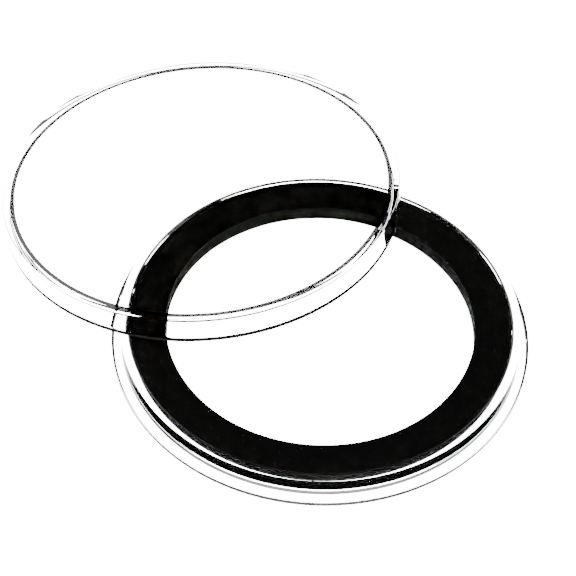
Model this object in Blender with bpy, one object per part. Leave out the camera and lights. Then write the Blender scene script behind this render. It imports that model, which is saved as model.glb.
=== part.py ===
"""Round two-piece capsule for a coin, laid open: the base stands flat with its foam ring in it, and the
lid leans with one edge on the surface and the other on the base's lip. Metres, +Z up, origin under the base."""

import math

import bmesh
import bpy
from mathutils import Matrix, Vector

MM = 0.001

# Both shells
OUTER_RADIUS = 22.4 * MM  # the base's flange and the lid's wall end flush here when closed
EDGE_ROUND = 0.12 * MM  # moulded edges
FOOT_ROUND = 0.4 * MM  # the flange's lower edge

# Base: a disc whose rim is a flange, with an upright lip that holds the ring
BASE_PLATE = 0.65 * MM
FLANGE_TOP = 0.8 * MM
LIP_INNER_RADIUS = 20.4 * MM
LIP_OUTER_RADIUS = 21.4 * MM
LIP_TOP = 3.0 * MM

# Small ribs on the lip's outer side that grip the inside of the lid's wall
NIB_ANGLES_DEG = (-2, 62, 111, 170)
NIB_RADIUS = 0.3 * MM
NIB_PROUD = 0.12 * MM
NIB_BELOW_LIP = 0.35 * MM

# Lid: a cap that goes over the base's lip and rests on its flange
LID_PLATE = 0.8 * MM
LID_INNER_RADIUS = 21.5 * MM
LID_DEPTH = 2.4 * MM
LID_CHAMFER = 0.25 * MM  # leads the rim over the lip

# Foam ring
RING_INNER_RADIUS = 16.5 * MM
RING_TOP = 2.5 * MM
CLEARANCE = 0.3 * MM  # between the ring and the base

# Where the lid lies: its centre's distance and direction from the base's centre
LID_OFFSET = 22.37 * MM
LID_DIRECTION_DEG = 127.1
REST_CLEARANCE = 0.2 * MM  # between the lid's inner edge and the lip
SURFACE_CLEARANCE = 0.02 * MM

SEGMENTS = 96
ARC_STEPS = 2


def clear_scene():
    for obj in list(bpy.data.objects):
        bpy.data.objects.remove(obj, do_unlink=True)


def make_material(name, colour, roughness, transmission=0.0):
    material = bpy.data.materials.new(name)
    material.use_nodes = True
    shader = material.node_tree.nodes["Principled BSDF"]
    shader.inputs["Base Color"].default_value = (*colour, 1.0)
    shader.inputs["Roughness"].default_value = roughness
    shader.inputs["Metallic"].default_value = 0.0
    shader.inputs["Transmission Weight"].default_value = transmission
    shader.inputs["IOR"].default_value = 1.49
    return material


def rounded(corners):
    """An outline through (radius, height, edge rounding) corners, with each rounding as a short arc."""
    outline = []
    for index, (radius, height, rounding) in enumerate(corners):
        corner = Vector((radius, height))
        if rounding == 0:
            outline.append(corner)
            continue
        before = (Vector(corners[index - 1][:2]) - corner).normalized()
        after = (Vector(corners[(index + 1) % len(corners)][:2]) - corner).normalized()
        half = before.angle(after) / 2
        centre = corner + (before + after).normalized() * rounding / math.sin(half)
        start = (corner + before * rounding / math.tan(half) - centre).normalized()
        end = (corner + after * rounding / math.tan(half) - centre).normalized()
        for step in range(ARC_STEPS + 1):
            outline.append(centre + start.slerp(end, step / ARC_STEPS) * rounding)
    return outline


def turned_mesh(name, outline, closed):
    """Turn an outline about Z. An open one runs from the axis on top to the axis below."""
    bm = bmesh.new()
    verts = [bm.verts.new((radius, 0, height)) for radius, height in outline]
    edges = [bm.edges.new(pair) for pair in zip(verts, verts[1:])]
    if closed:
        edges.append(bm.edges.new((verts[-1], verts[0])))
    bmesh.ops.spin(
        bm, geom=verts + edges, cent=(0, 0, 0), axis=(0, 0, 1), angle=math.tau, steps=SEGMENTS, use_merge=True
    )
    bmesh.ops.remove_doubles(bm, verts=bm.verts, dist=0.001 * MM)
    bmesh.ops.recalc_face_normals(bm, faces=bm.faces)
    mesh = bpy.data.meshes.new(name)
    bm.to_mesh(mesh)
    bm.free()
    mesh.shade_smooth()
    mesh.set_sharp_from_angle(angle=math.radians(30))
    return mesh


def add_object(name, mesh, material=None):
    obj = bpy.data.objects.new(name, mesh)
    bpy.context.scene.collection.objects.link(obj)
    if material:
        mesh.materials.append(material)
    return obj


def add_nibs_cutter():
    """All the grip ribs as one hidden mesh, for joining to the base's lip."""
    bottom = FLANGE_TOP / 2
    top = LIP_TOP - NIB_BELOW_LIP
    centre_radius = LIP_OUTER_RADIUS + NIB_PROUD - NIB_RADIUS
    bm = bmesh.new()
    for angle in NIB_ANGLES_DEG:
        turn = Matrix.Rotation(math.radians(angle), 4, "Z")
        bmesh.ops.create_cone(
            bm,
            cap_ends=True,
            segments=12,
            radius1=NIB_RADIUS,
            radius2=NIB_RADIUS,
            depth=top - bottom,
            matrix=turn @ Matrix.Translation((centre_radius, 0, (top + bottom) / 2)),
        )
    mesh = bpy.data.meshes.new("nibs_cutter")
    bm.to_mesh(mesh)
    bm.free()
    cutter = add_object("nibs_cutter", mesh)
    cutter.hide_render = True
    cutter.display_type = "WIRE"
    return cutter


def add_base_half(material):
    corners = [
        (0, BASE_PLATE, 0),
        (LIP_INNER_RADIUS, BASE_PLATE, EDGE_ROUND),
        (LIP_INNER_RADIUS, LIP_TOP, EDGE_ROUND),
        (LIP_OUTER_RADIUS, LIP_TOP, EDGE_ROUND),
        (LIP_OUTER_RADIUS, FLANGE_TOP, EDGE_ROUND),
        (OUTER_RADIUS, FLANGE_TOP, EDGE_ROUND),
        (OUTER_RADIUS, 0, FOOT_ROUND),
        (0, 0, 0),
    ]
    base = add_object("base_half", turned_mesh("base_half", rounded(corners), closed=False), material)
    union = base.modifiers.new("nibs", "BOOLEAN")
    union.operation = "UNION"
    union.solver = "EXACT"
    union.object = add_nibs_cutter()


def add_foam_ring(material):
    outer_radius = LIP_INNER_RADIUS - CLEARANCE
    bottom = BASE_PLATE + CLEARANCE
    outline = [
        Vector((RING_INNER_RADIUS, RING_TOP)),
        Vector((outer_radius, RING_TOP)),
        Vector((outer_radius, bottom)),
        Vector((RING_INNER_RADIUS, bottom)),
    ]
    add_object("foam_ring", turned_mesh("foam_ring", outline, closed=True), material)


def lid_placement():
    """The lid's rim centre and tilt: its far edge on the surface, its inner edge on the lip's outer edge."""
    chord = (LID_OFFSET**2 + LIP_OUTER_RADIUS**2 - LID_INNER_RADIUS**2) / (2 * LID_OFFSET)
    reach = OUTER_RADIUS + LID_OFFSET - chord
    tilt = math.asin((LIP_TOP + REST_CLEARANCE) / reach)
    direction = math.radians(LID_DIRECTION_DEG)
    height = OUTER_RADIUS * math.sin(tilt) + SURFACE_CLEARANCE
    centre = Vector((LID_OFFSET * math.cos(direction), LID_OFFSET * math.sin(direction), height))
    hinge_line = Vector((-math.sin(direction), math.cos(direction), 0))
    return Matrix.Translation(centre) @ Matrix.Rotation(tilt, 4, hinge_line)


def add_lid_half(material):
    top = LID_DEPTH + LID_PLATE
    corners = [
        (0, top, 0),
        (OUTER_RADIUS, top, EDGE_ROUND),
        (OUTER_RADIUS, 0, EDGE_ROUND),
        (LID_INNER_RADIUS + LID_CHAMFER, 0, 0),
        (LID_INNER_RADIUS, LID_CHAMFER, 0),
        (LID_INNER_RADIUS, LID_DEPTH, EDGE_ROUND),
        (0, LID_DEPTH, 0),
    ]
    lid = add_object("lid_half", turned_mesh("lid_half", rounded(corners), closed=False), material)
    lid.matrix_world = lid_placement()


def main():
    clear_scene()
    clear_acrylic = ((0.97, 0.98, 0.98), 0.03, 1.0)
    add_base_half(make_material("base_acrylic", *clear_acrylic))
    add_foam_ring(make_material("ring_foam", (0.012, 0.012, 0.013), 0.95))
    add_lid_half(make_material("lid_acrylic", *clear_acrylic))


main()
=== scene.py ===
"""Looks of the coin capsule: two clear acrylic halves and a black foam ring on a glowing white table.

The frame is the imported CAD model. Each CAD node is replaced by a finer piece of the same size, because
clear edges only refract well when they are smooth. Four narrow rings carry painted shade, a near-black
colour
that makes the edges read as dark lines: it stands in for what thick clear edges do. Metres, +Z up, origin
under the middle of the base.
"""

import math

import bmesh
import bpy
from mathutils import Matrix, Vector, noise


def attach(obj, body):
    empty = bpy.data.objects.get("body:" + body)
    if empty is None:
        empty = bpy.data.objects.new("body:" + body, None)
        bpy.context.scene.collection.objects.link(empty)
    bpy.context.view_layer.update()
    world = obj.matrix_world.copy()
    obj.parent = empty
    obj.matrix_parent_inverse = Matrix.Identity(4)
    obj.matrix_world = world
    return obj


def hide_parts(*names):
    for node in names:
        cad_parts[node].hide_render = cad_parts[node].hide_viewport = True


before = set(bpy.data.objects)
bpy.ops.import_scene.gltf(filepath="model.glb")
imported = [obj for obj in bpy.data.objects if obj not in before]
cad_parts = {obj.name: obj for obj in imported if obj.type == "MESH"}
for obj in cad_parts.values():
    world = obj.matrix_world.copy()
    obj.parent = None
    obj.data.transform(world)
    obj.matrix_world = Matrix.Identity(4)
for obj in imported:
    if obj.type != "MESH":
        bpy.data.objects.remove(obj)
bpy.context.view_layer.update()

MM = 0.001

# Both shells
OUTER_RADIUS = 22.4 * MM
EDGE_ROUND = 0.12 * MM
SHARP_ROUND = 0.04 * MM  # crisp edges

# Base
BASE_PLATE = 0.65 * MM
LIP_INNER_RADIUS = 20.4 * MM
LIP_OUTER_RADIUS = 21.4 * MM
LIP_TOP = 3.0 * MM
LIP_INNER_ROUND = 0.2 * MM
FLANGE_TOP = 0.8 * MM
FLANGE_FOOT_ROUND = 0.4 * MM
FOOT_PAINTED_SHADE_BAND = 0.25 * MM  # how much of the foot rounding's width gets the painted dark shade

# Small ribs on the lip's outer side that grip the lid
NIB_ANGLES_DEG = (-2, 62, 111, 170)
NIB_HALF_WIDTH = 0.25 * MM
NIB_PROUD = 0.06 * MM
NIB_BELOW_LIP = 0.2 * MM
NIB_TOP = LIP_TOP - NIB_BELOW_LIP

# Lid
LID_PLATE = 0.8 * MM
LID_INNER_RADIUS = 21.5 * MM
LID_DEPTH = 2.4 * MM
LID_TOP_ROUND = 0.2 * MM
LID_PAINTED_SHADE_BAND = 0.46 * MM  # painted shade: a dark ring round the inside of the disc
LID_CHAMFER = 0.25 * MM  # leads the rim over the lip

# Foam ring
RING_INNER_RADIUS = 16.5 * MM
RING_TOP = 2.5 * MM
RING_EDGE_TOP = 2.65 * MM  # where its outer edge is squeezed up along the lip
RING_EDGE_WIDTH = 0.5 * MM
RING_HOLE_ROUND = 0.05 * MM
RING_SQUEEZE = 0.01 * MM  # how far it presses into the lip
RING_CUT = 0.26 * MM  # bevel that the die leaves on its lower outer edge
RAGGED = 0.03 * MM  # unevenness of the cut
HOLE_RAGGED = 0.1 * RAGGED
HOLE_EDGE = 0.1 * MM  # how near the hole counts as its edge
COARSE_TEETH = 20.0
COARSE_SHARE = 0.5
FINE_TEETH = 60.0
COARSE_NICKS = 12.0
FINE_NICKS = 45.0

# Where the lid lies
LID_OFFSET = 22.37 * MM
LID_DIRECTION_DEG = 127.1
SURFACE_CLEARANCE = 0.02 * MM
REST_CLEARANCE = 0.2 * MM

# Mesh fineness
SEGMENTS = 1080
ARC_STEPS = 6

# Camera
SENSOR_WIDTH = 36.0
NEAR_CLIP = 1 * MM
FAR_CLIP = 20.0
CAMERA_AIM = Vector((-3.57, 6.80, 0.0)) * MM
CAMERA_DISTANCE = 198.92 * MM
CAMERA_ELEVATION_DEG = 48.3
CAMERA_ROLL_DEG = 1.42
CAMERA_LENS = 112.5

# Acrylic
IOR = 1.49
GLOSS_FALLOFF = 4.0  # power of the Fresnel reflection, which keeps faint gloss off steep views
# Painted shade: the near-black colour of the four edge rings, standing in for the dark lines thick clear
# edges show
EDGE_PAINTED_SHADE = (0.01, 0.01, 0.01, 1)
SCUFF_TINT = (0.93, 0.95, 1.0, 1)
SCUFF_LEAK = 0.011
SCUFF_TOP = 0.02 * MM  # height over which the leak fades out
WAVE_SCALE = 250.0
WAVE_HEIGHT = 0.008 * MM

# Foam
FOAM_CELLS = 5000.0
FOAM_MOTTLE = 700.0
FOAM_BUMP = 0.03 * MM
FOAM_BUMP_STRENGTH = 0.5
FOAM_ROUGHNESS = 0.92
FOAM_SHEEN = 0.03
SKIN_DARK = (0.006, 0.006, 0.0055, 1)
SKIN_PALE = (0.014, 0.014, 0.013, 1)
CUT_FACE = (0.0006, 0.0006, 0.0006, 1)

# Light
TABLE_HALF_SIZE = 3.0
TABLE_GLOW = 9.0  # of each layer
TABLE_LAYERS = 2
ROOM_DARK = (0.01, 0.01, 0.01, 1)
ROOM_OVERHEAD = (0.02, 0.02, 0.02, 1)
LAMP_POWER = 0.6
LAMP_HEIGHT = 300 * MM
LAMP_SIZE = 400 * MM


def new_material(name):
    material = bpy.data.materials.new(name)
    material.use_nodes = True
    material.node_tree.nodes.clear()
    return material, material.node_tree


def add_node(tree, kind, **values):
    """A node with its sockets set by name, and its properties by attribute."""
    node = tree.nodes.new(kind)
    for name, value in values.items():
        if name in node.inputs:
            node.inputs[name].default_value = value
        else:
            setattr(node, name, value)
    return node


def acrylic_material(name, scuff=0.0, shade_colour=(1, 1, 1, 1)):
    """Clear, slightly wavy acrylic: only grazing light and light trapped inside mirror strongly.

    scuff is the share of trapped light that a scratched underside lets through. shade_colour colours both
    its refraction and its gloss; the near-black one is painted shade."""
    material, tree = new_material(name)
    output = add_node(tree, "ShaderNodeOutputMaterial")
    mixed = add_node(tree, "ShaderNodeMixShader")
    through = add_node(tree, "ShaderNodeBsdfRefraction", Color=shade_colour, Roughness=0.0, IOR=IOR)
    gloss = add_node(tree, "ShaderNodeBsdfGlossy", Color=shade_colour, Roughness=0.0)
    fresnel = add_node(tree, "ShaderNodeFresnel", IOR=IOR)
    coordinates = add_node(tree, "ShaderNodeTexCoord")
    waves = add_node(tree, "ShaderNodeTexNoise", Scale=WAVE_SCALE, Detail=1.0)
    waviness = add_node(tree, "ShaderNodeBump", Strength=1.0, Distance=WAVE_HEIGHT)
    softened = add_node(tree, "ShaderNodeMath", operation="POWER")
    softened.inputs[1].default_value = GLOSS_FALLOFF
    tree.links.new(coordinates.outputs["Object"], waves.inputs["Vector"])
    tree.links.new(waves.outputs["Fac"], waviness.inputs["Height"])
    for shader in (through, gloss, fresnel):
        tree.links.new(waviness.outputs["Normal"], shader.inputs["Normal"])
    tree.links.new(fresnel.outputs["Fac"], softened.inputs[0])
    tree.links.new(softened.outputs["Value"], mixed.inputs["Fac"])
    tree.links.new(through.outputs["BSDF"], mixed.inputs[1])
    if scuff:
        add_scuffs(tree, gloss, mixed.inputs[2], scuff)
    else:
        tree.links.new(gloss.outputs["BSDF"], mixed.inputs[2])
    tree.links.new(mixed.outputs["Shader"], output.inputs["Surface"])
    return material


def add_scuffs(tree, gloss, target, scuff):
    """Mix a faint leak into the gloss at the underside, and link both to the target socket."""
    leak = add_node(tree, "ShaderNodeBsdfTranslucent", Color=SCUFF_TINT)
    blend = add_node(tree, "ShaderNodeMixShader")
    coordinates = add_node(tree, "ShaderNodeTexCoord")
    parts = add_node(tree, "ShaderNodeSeparateXYZ")
    underside = add_node(tree, "ShaderNodeMapRange")
    underside.inputs["From Min"].default_value = SCUFF_TOP
    underside.inputs["From Max"].default_value = 0.0
    underside.inputs["To Max"].default_value = scuff
    tree.links.new(coordinates.outputs["Object"], parts.inputs[0])
    tree.links.new(parts.outputs["Z"], underside.inputs["Value"])
    tree.links.new(underside.outputs["Result"], blend.inputs["Fac"])
    tree.links.new(gloss.outputs["BSDF"], blend.inputs[1])
    tree.links.new(leak.outputs["BSDF"], blend.inputs[2])
    tree.links.new(blend.outputs["Shader"], target)


def foam_material():
    """Matt black closed-cell foam: a cellular skin on top, darker where the die cut it."""
    material, tree = new_material("black_foam")
    output = add_node(tree, "ShaderNodeOutputMaterial")
    shader = add_node(tree, "ShaderNodeBsdfPrincipled", Roughness=FOAM_ROUGHNESS)
    shader.inputs["Specular IOR Level"].default_value = FOAM_SHEEN
    coordinates = add_node(tree, "ShaderNodeTexCoord")
    facing = add_node(tree, "ShaderNodeSeparateXYZ")
    cells = add_node(tree, "ShaderNodeTexVoronoi", Scale=FOAM_CELLS)
    mottle = add_node(tree, "ShaderNodeTexNoise", Scale=FOAM_MOTTLE, Detail=4.0)
    skin = add_node(tree, "ShaderNodeMix", data_type="RGBA")
    skin.inputs["A"].default_value = SKIN_DARK
    skin.inputs["B"].default_value = SKIN_PALE
    surface = add_node(tree, "ShaderNodeMix", data_type="RGBA")
    surface.inputs["A"].default_value = CUT_FACE
    bump = add_node(tree, "ShaderNodeBump", Strength=FOAM_BUMP_STRENGTH, Distance=FOAM_BUMP)
    tree.links.new(coordinates.outputs["Object"], cells.inputs["Vector"])
    tree.links.new(coordinates.outputs["Object"], mottle.inputs["Vector"])
    tree.links.new(coordinates.outputs["Normal"], facing.inputs[0])
    tree.links.new(mottle.outputs["Fac"], skin.inputs["Factor"])
    tree.links.new(facing.outputs["Z"], surface.inputs["Factor"])
    tree.links.new(skin.outputs["Result"], surface.inputs["B"])
    tree.links.new(surface.outputs["Result"], shader.inputs["Base Color"])
    tree.links.new(cells.outputs["Distance"], bump.inputs["Height"])
    tree.links.new(bump.outputs["Normal"], shader.inputs["Normal"])
    tree.links.new(shader.outputs["BSDF"], output.inputs["Surface"])
    return material


def rounded(corners):
    """An outline through (radius, height, edge rounding) corners, with each rounding as a short arc."""
    outline = []
    for index, (radius, height, rounding) in enumerate(corners):
        corner = Vector((radius, height))
        if rounding == 0:
            outline.append(corner)
            continue
        before = (Vector(corners[index - 1][:2]) - corner).normalized()
        after = (Vector(corners[(index + 1) % len(corners)][:2]) - corner).normalized()
        half = before.angle(after) / 2
        centre = corner + (before + after).normalized() * rounding / math.sin(half)
        start = (corner + before * rounding / math.tan(half) - centre).normalized()
        end = (corner + after * rounding / math.tan(half) - centre).normalized()
        for step in range(ARC_STEPS + 1):
            outline.append(centre + start.slerp(end, step / ARC_STEPS) * rounding)
    return outline


def turned_mesh(name, outline, closed):
    """Turn an outline about Z. An open one runs from the axis on top to the axis below."""
    rings = outline if closed else outline[1:-1]
    turns = [(math.cos(math.tau * k / SEGMENTS), math.sin(math.tau * k / SEGMENTS)) for k in range(SEGMENTS)]
    verts = [(radius * c, radius * s, height) for radius, height in rings for c, s in turns]
    pairs = [(k, (k + 1) % SEGMENTS) for k in range(SEGMENTS)]
    rows = [(row * SEGMENTS, (row + 1) % len(rings) * SEGMENTS) for row in range(len(rings) - (not closed))]
    faces = [(a + k, a + n, b + n, b + k) for a, b in rows for k, n in pairs]
    if not closed:
        top, below = len(verts), len(verts) + 1
        last = (len(rings) - 1) * SEGMENTS
        verts += [(0, 0, outline[0][1]), (0, 0, outline[-1][1])]
        faces += [(top, n, k) for k, n in pairs] + [(below, last + k, last + n) for k, n in pairs]
    mesh = bpy.data.meshes.new(name)
    mesh.from_pydata(verts, [], faces)
    bm = bmesh.new()
    bm.from_mesh(mesh)
    bmesh.ops.recalc_face_normals(bm, faces=bm.faces)
    bm.to_mesh(mesh)
    bm.free()
    mesh.shade_smooth()
    return mesh


def add_piece(name, mesh, materials, body, node):
    piece = bpy.data.objects.new(name, mesh)
    bpy.context.scene.collection.objects.link(piece)
    for material in materials:
        mesh.materials.append(material)
    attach(piece, body)
    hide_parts(node)
    return piece


def paint_edge_shade_ring(mesh, radii, heights):
    """Give the faces between these radii and heights the second material, the near-black painted edge shade.
    """
    for face in mesh.polygons:
        radius = math.hypot(face.center.x, face.center.y)
        if radii[0] < radius < radii[1] and heights[0] < face.center.z < heights[1]:
            face.material_index = 1


def flatten_shading(piece):
    """Keep the shading of flat faces flat up to their rounded edges."""
    weighted = piece.modifiers.new("shading", "WEIGHTED_NORMAL")
    weighted.mode = "FACE_AREA"
    weighted.weight = 100


def raise_nibs(mesh):
    """Push the lip's outer wall out to a half round rib at each nib."""
    for vertex in mesh.vertices:
        x, y, z = vertex.co
        radius = math.hypot(x, y)
        if abs(radius - LIP_OUTER_RADIUS) > SHARP_ROUND or not FLANGE_TOP <= z < NIB_TOP - SHARP_ROUND / 2:
            continue
        turn = math.degrees(math.atan2(y, x))
        nearest = min(abs((turn - angle + 180) % 360 - 180) for angle in NIB_ANGLES_DEG)
        off = math.radians(nearest) * LIP_OUTER_RADIUS / NIB_HALF_WIDTH
        if off < 1:
            vertex.co *= 1 + NIB_PROUD * math.sqrt(1 - off**2) / radius
            vertex.co.z = z


def add_base(material, edge):
    corners = [
        (0, BASE_PLATE, 0),
        (LIP_INNER_RADIUS, BASE_PLATE, EDGE_ROUND),
        (LIP_INNER_RADIUS, LIP_TOP, LIP_INNER_ROUND),
        (LIP_OUTER_RADIUS, LIP_TOP, SHARP_ROUND),
        (LIP_OUTER_RADIUS, NIB_TOP, 0),
        (LIP_OUTER_RADIUS, NIB_TOP - SHARP_ROUND, 0),
        (LIP_OUTER_RADIUS, FLANGE_TOP, SHARP_ROUND),
        (OUTER_RADIUS, FLANGE_TOP, SHARP_ROUND),
        (OUTER_RADIUS, 0, FLANGE_FOOT_ROUND),
        (0, 0, 0),
    ]
    mesh = turned_mesh("base_shell", rounded(corners), False)
    raise_nibs(mesh)
    base = add_piece("base_shell", mesh, (material, edge), "base", "base_half")
    # Painted shade on the lip's inner top rounding and on the flange's foot rounding
    lip_painted_shade_radii = (LIP_INNER_RADIUS, LIP_INNER_RADIUS + LIP_INNER_ROUND)
    paint_edge_shade_ring(mesh, lip_painted_shade_radii, (LIP_TOP - LIP_INNER_ROUND, LIP_TOP))
    paint_edge_shade_ring(mesh, (OUTER_RADIUS - FOOT_PAINTED_SHADE_BAND, OUTER_RADIUS), (0, FLANGE_FOOT_ROUND))
    flatten_shading(base)


def fray(mesh, edge_radius, middle):
    """Make the cut edges uneven: the outer wall's lower edge up and down, the hole's edge in and out."""
    for vertex in mesh.vertices:
        x, y, z = vertex.co
        radius = math.hypot(x, y)
        around = Vector((x, y, 0)).normalized()
        if radius > edge_radius and z < middle:
            coarse = noise.noise(around * COARSE_TEETH)
            fine = noise.noise(around * FINE_TEETH)
            vertex.co.z += RAGGED * (COARSE_SHARE * coarse + max(fine, 0))
        elif radius < RING_INNER_RADIUS + HOLE_EDGE:
            push = HOLE_RAGGED * (noise.noise(around * COARSE_NICKS) + noise.noise(around * FINE_NICKS))
            vertex.co.x += around.x * push
            vertex.co.y += around.y * push


def add_foam(material):
    """The ring presses on the lip all round, so no gap shows between them."""
    outer = LIP_INNER_RADIUS + RING_SQUEEZE
    bottom = BASE_PLATE + SURFACE_CLEARANCE
    corners = [
        (RING_INNER_RADIUS, RING_TOP, RING_HOLE_ROUND),
        (outer - RING_EDGE_WIDTH, RING_TOP, RING_EDGE_WIDTH / 2),
        (outer, RING_EDGE_TOP, 0),
        (outer, bottom + RING_CUT, 0),
        (outer - RING_CUT, bottom, 0),
        (RING_INNER_RADIUS, bottom, RING_HOLE_ROUND),
    ]
    mesh = turned_mesh("foam_body", rounded(corners), True)
    fray(mesh, LIP_INNER_RADIUS, (RING_EDGE_TOP + bottom) / 2)
    foam = add_piece("foam_body", mesh, (material,), "ring", "foam_ring")


def lid_placement():
    """The lid's rim centre and tilt: its far edge on the surface, its inner edge on the lip's outer edge."""
    chord = (LID_OFFSET**2 + LIP_OUTER_RADIUS**2 - LID_INNER_RADIUS**2) / (2 * LID_OFFSET)
    reach = OUTER_RADIUS + LID_OFFSET - chord
    tilt = math.asin((LIP_TOP + REST_CLEARANCE) / reach)
    direction = math.radians(LID_DIRECTION_DEG)
    height = OUTER_RADIUS * math.sin(tilt) + SURFACE_CLEARANCE
    centre = Vector((LID_OFFSET * math.cos(direction), LID_OFFSET * math.sin(direction), height))
    hinge_line = Vector((-math.sin(direction), math.cos(direction), 0))
    return Matrix.Translation(centre) @ Matrix.Rotation(tilt, 4, hinge_line)


def add_lid(material, edge):
    top = LID_DEPTH + LID_PLATE
    corners = [
        (0, top, 0),
        (OUTER_RADIUS, top, LID_TOP_ROUND),
        (OUTER_RADIUS, 0, SHARP_ROUND),
        (LID_INNER_RADIUS + LID_CHAMFER, 0, 0),
        (LID_INNER_RADIUS + LID_CHAMFER / 2, LID_CHAMFER / 2, 0),
        (LID_INNER_RADIUS, LID_CHAMFER, 0),
        (LID_INNER_RADIUS, LID_DEPTH, SHARP_ROUND),
        (LID_INNER_RADIUS - LID_PAINTED_SHADE_BAND, LID_DEPTH, 0),
        (0, LID_DEPTH, 0),
    ]
    mesh = turned_mesh("lid_shell", rounded(corners), False)
    lid = add_piece("lid_shell", mesh, (material, edge), "lid", "lid_half")
    # Painted shade on a ring round the inside of the disc and on the lower half of the chamfer
    band = (LID_INNER_RADIUS - LID_PAINTED_SHADE_BAND, LID_INNER_RADIUS)
    paint_edge_shade_ring(mesh, band, (LID_DEPTH - SHARP_ROUND, LID_DEPTH + SHARP_ROUND))
    paint_edge_shade_ring(mesh, (LID_INNER_RADIUS, LID_INNER_RADIUS + LID_CHAMFER), (0, LID_CHAMFER / 2))
    mesh.transform(lid_placement())
    flatten_shading(lid)


def glow_material():
    material, tree = new_material("table_glow")
    output = add_node(tree, "ShaderNodeOutputMaterial")
    both = add_node(tree, "ShaderNodeAddShader")
    glow = add_node(tree, "ShaderNodeEmission", Strength=TABLE_GLOW)
    clear = add_node(tree, "ShaderNodeBsdfTransparent")
    tree.links.new(glow.outputs[0], both.inputs[0])
    tree.links.new(clear.outputs[0], both.inputs[1])
    tree.links.new(both.outputs[0], output.inputs["Surface"])
    return material


def add_table():
    """The floor, a light table: sheets that glow and let each other's light through."""
    mesh = bpy.data.meshes.new("table")
    bm = bmesh.new()
    bmesh.ops.create_grid(bm, x_segments=1, y_segments=1, size=TABLE_HALF_SIZE)
    bm.to_mesh(mesh)
    bm.free()
    mesh.materials.append(glow_material())
    for layer in range(TABLE_LAYERS):
        sheet = bpy.data.objects.new(f"table_{layer}", mesh)
        sheet.location.z = -SURFACE_CLEARANCE * (layer + 1)
        bpy.context.scene.collection.objects.link(sheet)


def set_surroundings():
    """A dark room: nearly black at mirror height, a little lighter overhead."""
    world = bpy.data.worlds.new("dark_room")
    bpy.context.scene.world = world
    world.use_nodes = True
    tree = world.node_tree
    tree.nodes.clear()
    output = add_node(tree, "ShaderNodeOutputWorld")
    background = add_node(tree, "ShaderNodeBackground", Strength=1.0)
    coordinates = add_node(tree, "ShaderNodeTexCoord")
    parts = add_node(tree, "ShaderNodeSeparateXYZ")
    ramp = add_node(tree, "ShaderNodeValToRGB")
    ramp.color_ramp.elements[0].position = 0.0
    ramp.color_ramp.elements[0].color = ROOM_DARK
    ramp.color_ramp.elements[1].position = 1.0
    ramp.color_ramp.elements[1].color = ROOM_OVERHEAD
    tree.links.new(coordinates.outputs["Generated"], parts.inputs[0])
    tree.links.new(parts.outputs["Z"], ramp.inputs["Fac"])
    tree.links.new(ramp.outputs["Color"], background.inputs["Color"])
    tree.links.new(background.outputs[0], output.inputs["Surface"])


def add_lamp():
    """A soft lamp overhead that lights the foam. Clear edges don't mirror it."""
    data = bpy.data.lights.new("softbox", "AREA")
    data.size = LAMP_SIZE
    data.energy = LAMP_POWER
    lamp = bpy.data.objects.new("softbox", data)
    lamp.location = (0, 0, LAMP_HEIGHT)
    lamp.visible_glossy = False
    lamp.visible_transmission = False
    bpy.context.scene.collection.objects.link(lamp)


def add_camera():
    elevation = math.radians(CAMERA_ELEVATION_DEG)
    roll = math.radians(CAMERA_ROLL_DEG)
    forward = Vector((0, math.cos(elevation), -math.sin(elevation)))
    level_right = Vector((1, 0, 0))
    level_up = level_right.cross(forward)
    right = level_right * math.cos(roll) + level_up * math.sin(roll)
    up = level_up * math.cos(roll) - level_right * math.sin(roll)
    data = bpy.data.cameras.new("camera")
    data.sensor_width = SENSOR_WIDTH
    data.lens = CAMERA_LENS
    data.clip_start = NEAR_CLIP
    data.clip_end = FAR_CLIP
    camera = bpy.data.objects.new("camera", data)
    bpy.context.scene.collection.objects.link(camera)
    placement = Matrix((right, up, -forward)).transposed().to_4x4()
    placement.translation = CAMERA_AIM - forward * CAMERA_DISTANCE
    camera.matrix_world = placement
    bpy.context.scene.camera = camera


# Painted shade: a near-black acrylic for the four edge rings
edge = acrylic_material("acrylic_painted_edge_shade", shade_colour=EDGE_PAINTED_SHADE)
add_base(acrylic_material("base_acrylic", SCUFF_LEAK), edge)
add_lid(acrylic_material("lid_acrylic"), edge)
add_foam(foam_material())
add_table()
set_surroundings()
add_lamp()
add_camera()
